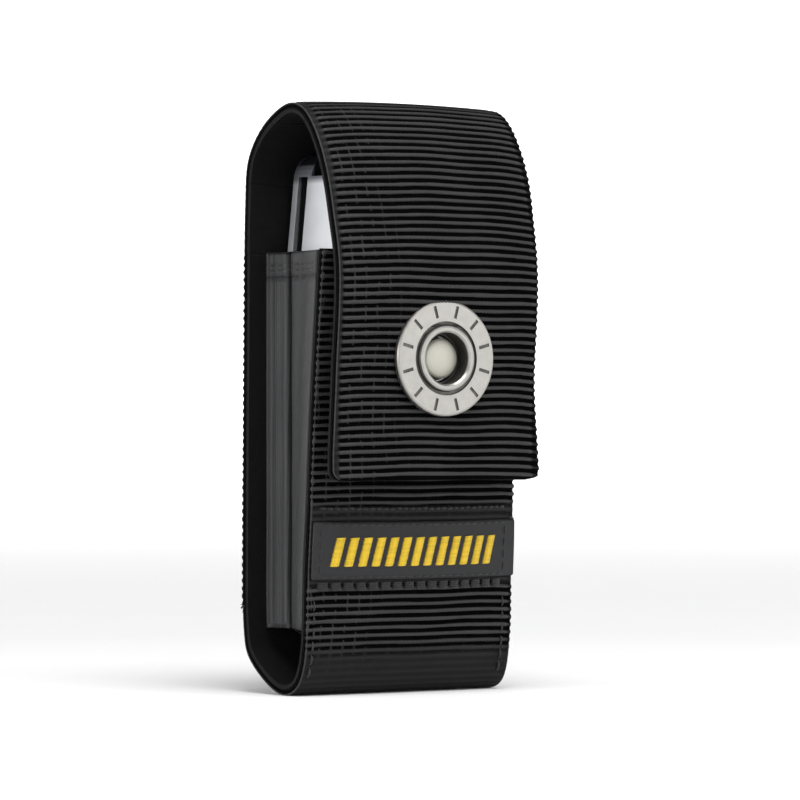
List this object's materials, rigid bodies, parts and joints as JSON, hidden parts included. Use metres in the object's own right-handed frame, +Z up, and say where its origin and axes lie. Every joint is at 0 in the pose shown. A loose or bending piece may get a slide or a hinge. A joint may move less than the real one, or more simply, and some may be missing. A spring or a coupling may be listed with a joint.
{
  "type": "multi tool in a belt sheath",
  "caption": "Folding pliers and blades, closed, in a ribbed webbing belt pouch with elastic sides and a snap flap.",
  "frame": {"origin": "under the middle of the sheath, at the lowest point of its folded bottom", "axes": "+Z up towards the flap's arch, +X to the right seen from the front, the snap faces -Y and the belt loop faces +Y"},
  "size_m": [0.0524, 0.0444, 0.1262],
  "materials": {
    "webbing": "ribbed woven nylon",
    "lining": "smooth coated lining",
    "elastic": "satin elastic",
    "label": "woven band",
    "snap_metal": "satin nickel plate",
    "tool_steel": "brushed stainless",
    "blade_steel": "ground stainless",
    "spring_wire": "drawn wire"
  },
  "bodies": {
    "sheath": {"sheath_back": "webbing", "sheath_bottom": "webbing", "sheath_front": "webbing", "sheath_lining": "lining", "gusset_left": "elastic", "gusset_right": "elastic", "label_band": "label", "belt_loop": "webbing", "snap_stud": "snap_metal", "stud_rivet": "snap_metal"},
    "flap_base": {"flap_rear": "webbing"},
    "flap_arch": {"flap_top": "webbing"},
    "flap_bend": {"flap_brow": "webbing"},
    "flap": {"flap_front": "webbing", "flap_lining": "lining", "snap_ring": "snap_metal", "snap_eyelet": "snap_metal", "snap_socket": "snap_metal", "snap_spring": "spring_wire"},
    "plier_right": {"plier_jaw_right": "tool_steel", "plier_pivot_pin": "tool_steel"},
    "plier_left": {"plier_jaw_left": "tool_steel"},
    "left_handle": {"handle_left": "tool_steel", "handle_pivot_pin_left": "tool_steel", "implement_axle_left": "tool_steel"},
    "right_handle": {"handle_right": "tool_steel", "handle_pivot_pin_right": "tool_steel", "implement_axle_right": "tool_steel"},
    "knife": {"knife_blade": "blade_steel"},
    "saw": {"saw_blade": "blade_steel"},
    "wide_driver": {"large_screwdriver": "blade_steel"},
    "narrow_driver": {"small_screwdriver": "blade_steel"},
    "tin_opener": {"can_opener": "blade_steel"},
    "cross_driver": {"phillips_driver": "blade_steel"},
    "cap_opener": {"bottle_opener": "blade_steel"},
    "spike": {"awl": "blade_steel"}
  },
  "joints": [
    {"name": "flap_open", "type": "hinge", "parent": "sheath", "child": "flap_base", "pos_m": [0, 0.01527, 0.096], "axis": [-1, 0, 0], "range_deg": [0, 115]},
    {"name": "flap_arch_bend", "type": "hinge", "parent": "flap_base", "child": "flap_arch", "pos_m": [0, 0.01315, 0.11804], "axis": [-1, 0, 0], "range_deg": [0, 100]},
    {"name": "flap_brow_bend", "type": "hinge", "parent": "flap_arch", "child": "flap_bend", "pos_m": [0, -0.00088, 0.12625], "axis": [-1, 0, 0], "range_deg": [0, 60]},
    {"name": "flap_front_bend", "type": "hinge", "parent": "flap_bend", "child": "flap", "pos_m": [0, -0.01494, 0.11461], "axis": [-1, 0, 0], "range_deg": [0, 40]},
    {"name": "tool_lift", "type": "slide", "parent": "sheath", "child": "plier_right", "axis": [0, 0, 1], "range_m": [0, 0.082]},
    {"name": "plier_open", "type": "hinge", "parent": "plier_right", "child": "plier_left", "pos_m": [0, 0.00312, 0.091], "axis": [0, -1, 0], "range_deg": [0, 45]},
    {"name": "left_handle_open", "type": "hinge", "parent": "plier_left", "child": "left_handle", "pos_m": [-0.009, 0.00312, 0.1064], "axis": [0, 1, 0], "range_deg": [0, 180]},
    {"name": "right_handle_open", "type": "hinge", "parent": "plier_right", "child": "right_handle", "pos_m": [0.009, 0.00312, 0.1064], "axis": [0, -1, 0], "range_deg": [0, 180]},
    {"name": "knife_open", "type": "hinge", "parent": "left_handle", "child": "knife", "pos_m": [-0.012, 0.00802, 0.021], "axis": [0, -1, 0], "range_deg": [0, 180]},
    {"name": "saw_open", "type": "hinge", "parent": "right_handle", "child": "saw", "pos_m": [0.012, 0.00802, 0.021], "axis": [0, 1, 0], "range_deg": [0, 180]},
    {"name": "large_screwdriver_open", "type": "hinge", "parent": "left_handle", "child": "wide_driver", "pos_m": [-0.012, 0.00337, 0.021], "axis": [0, 1, 0], "range_deg": [0, 180]},
    {"name": "small_screwdriver_open", "type": "hinge", "parent": "left_handle", "child": "narrow_driver", "pos_m": [-0.012, 0.00052, 0.021], "axis": [0, 1, 0], "range_deg": [0, 180]},
    {"name": "can_opener_open", "type": "hinge", "parent": "left_handle", "child": "tin_opener", "pos_m": [-0.012, -0.00233, 0.021], "axis": [0, 1, 0], "range_deg": [0, 180]},
    {"name": "phillips_driver_open", "type": "hinge", "parent": "right_handle", "child": "cross_driver", "pos_m": [0.012, 0.00337, 0.021], "axis": [0, -1, 0], "range_deg": [0, 180]},
    {"name": "bottle_opener_open", "type": "hinge", "parent": "right_handle", "child": "cap_opener", "pos_m": [0.012, 0.00052, 0.021], "axis": [0, -1, 0], "range_deg": [0, 180]},
    {"name": "awl_open", "type": "hinge", "parent": "right_handle", "child": "spike", "pos_m": [0.012, -0.00233, 0.021], "axis": [0, -1, 0], "range_deg": [0, 180]}
  ],
  "couplings": [
    {"joint": "flap_open", "follows": "tool_lift", "rad_per_m": 24.477},
    {"joint": "flap_arch_bend", "follows": "tool_lift", "rad_per_m": 21.285},
    {"joint": "flap_brow_bend", "follows": "tool_lift", "rad_per_m": 12.771},
    {"joint": "flap_front_bend", "follows": "tool_lift", "rad_per_m": 8.5138},
    {"joint": "plier_open", "follows": "tool_lift", "rad_per_m": 0.0125},
    {"joint": "left_handle_open", "follows": "tool_lift", "rad_per_m": 0.0125},
    {"joint": "right_handle_open", "follows": "tool_lift", "rad_per_m": 0.0125},
    {"joint": "knife_open", "follows": "tool_lift", "rad_per_m": 0.0125},
    {"joint": "saw_open", "follows": "tool_lift", "rad_per_m": 0.0125},
    {"joint": "large_screwdriver_open", "follows": "tool_lift", "rad_per_m": 0.0125},
    {"joint": "small_screwdriver_open", "follows": "tool_lift", "rad_per_m": 0.0125},
    {"joint": "can_opener_open", "follows": "tool_lift", "rad_per_m": 0.0125},
    {"joint": "phillips_driver_open", "follows": "tool_lift", "rad_per_m": 0.0125},
    {"joint": "bottle_opener_open", "follows": "tool_lift", "rad_per_m": 0.0125},
    {"joint": "awl_open", "follows": "tool_lift", "rad_per_m": 0.0125}
  ]
}
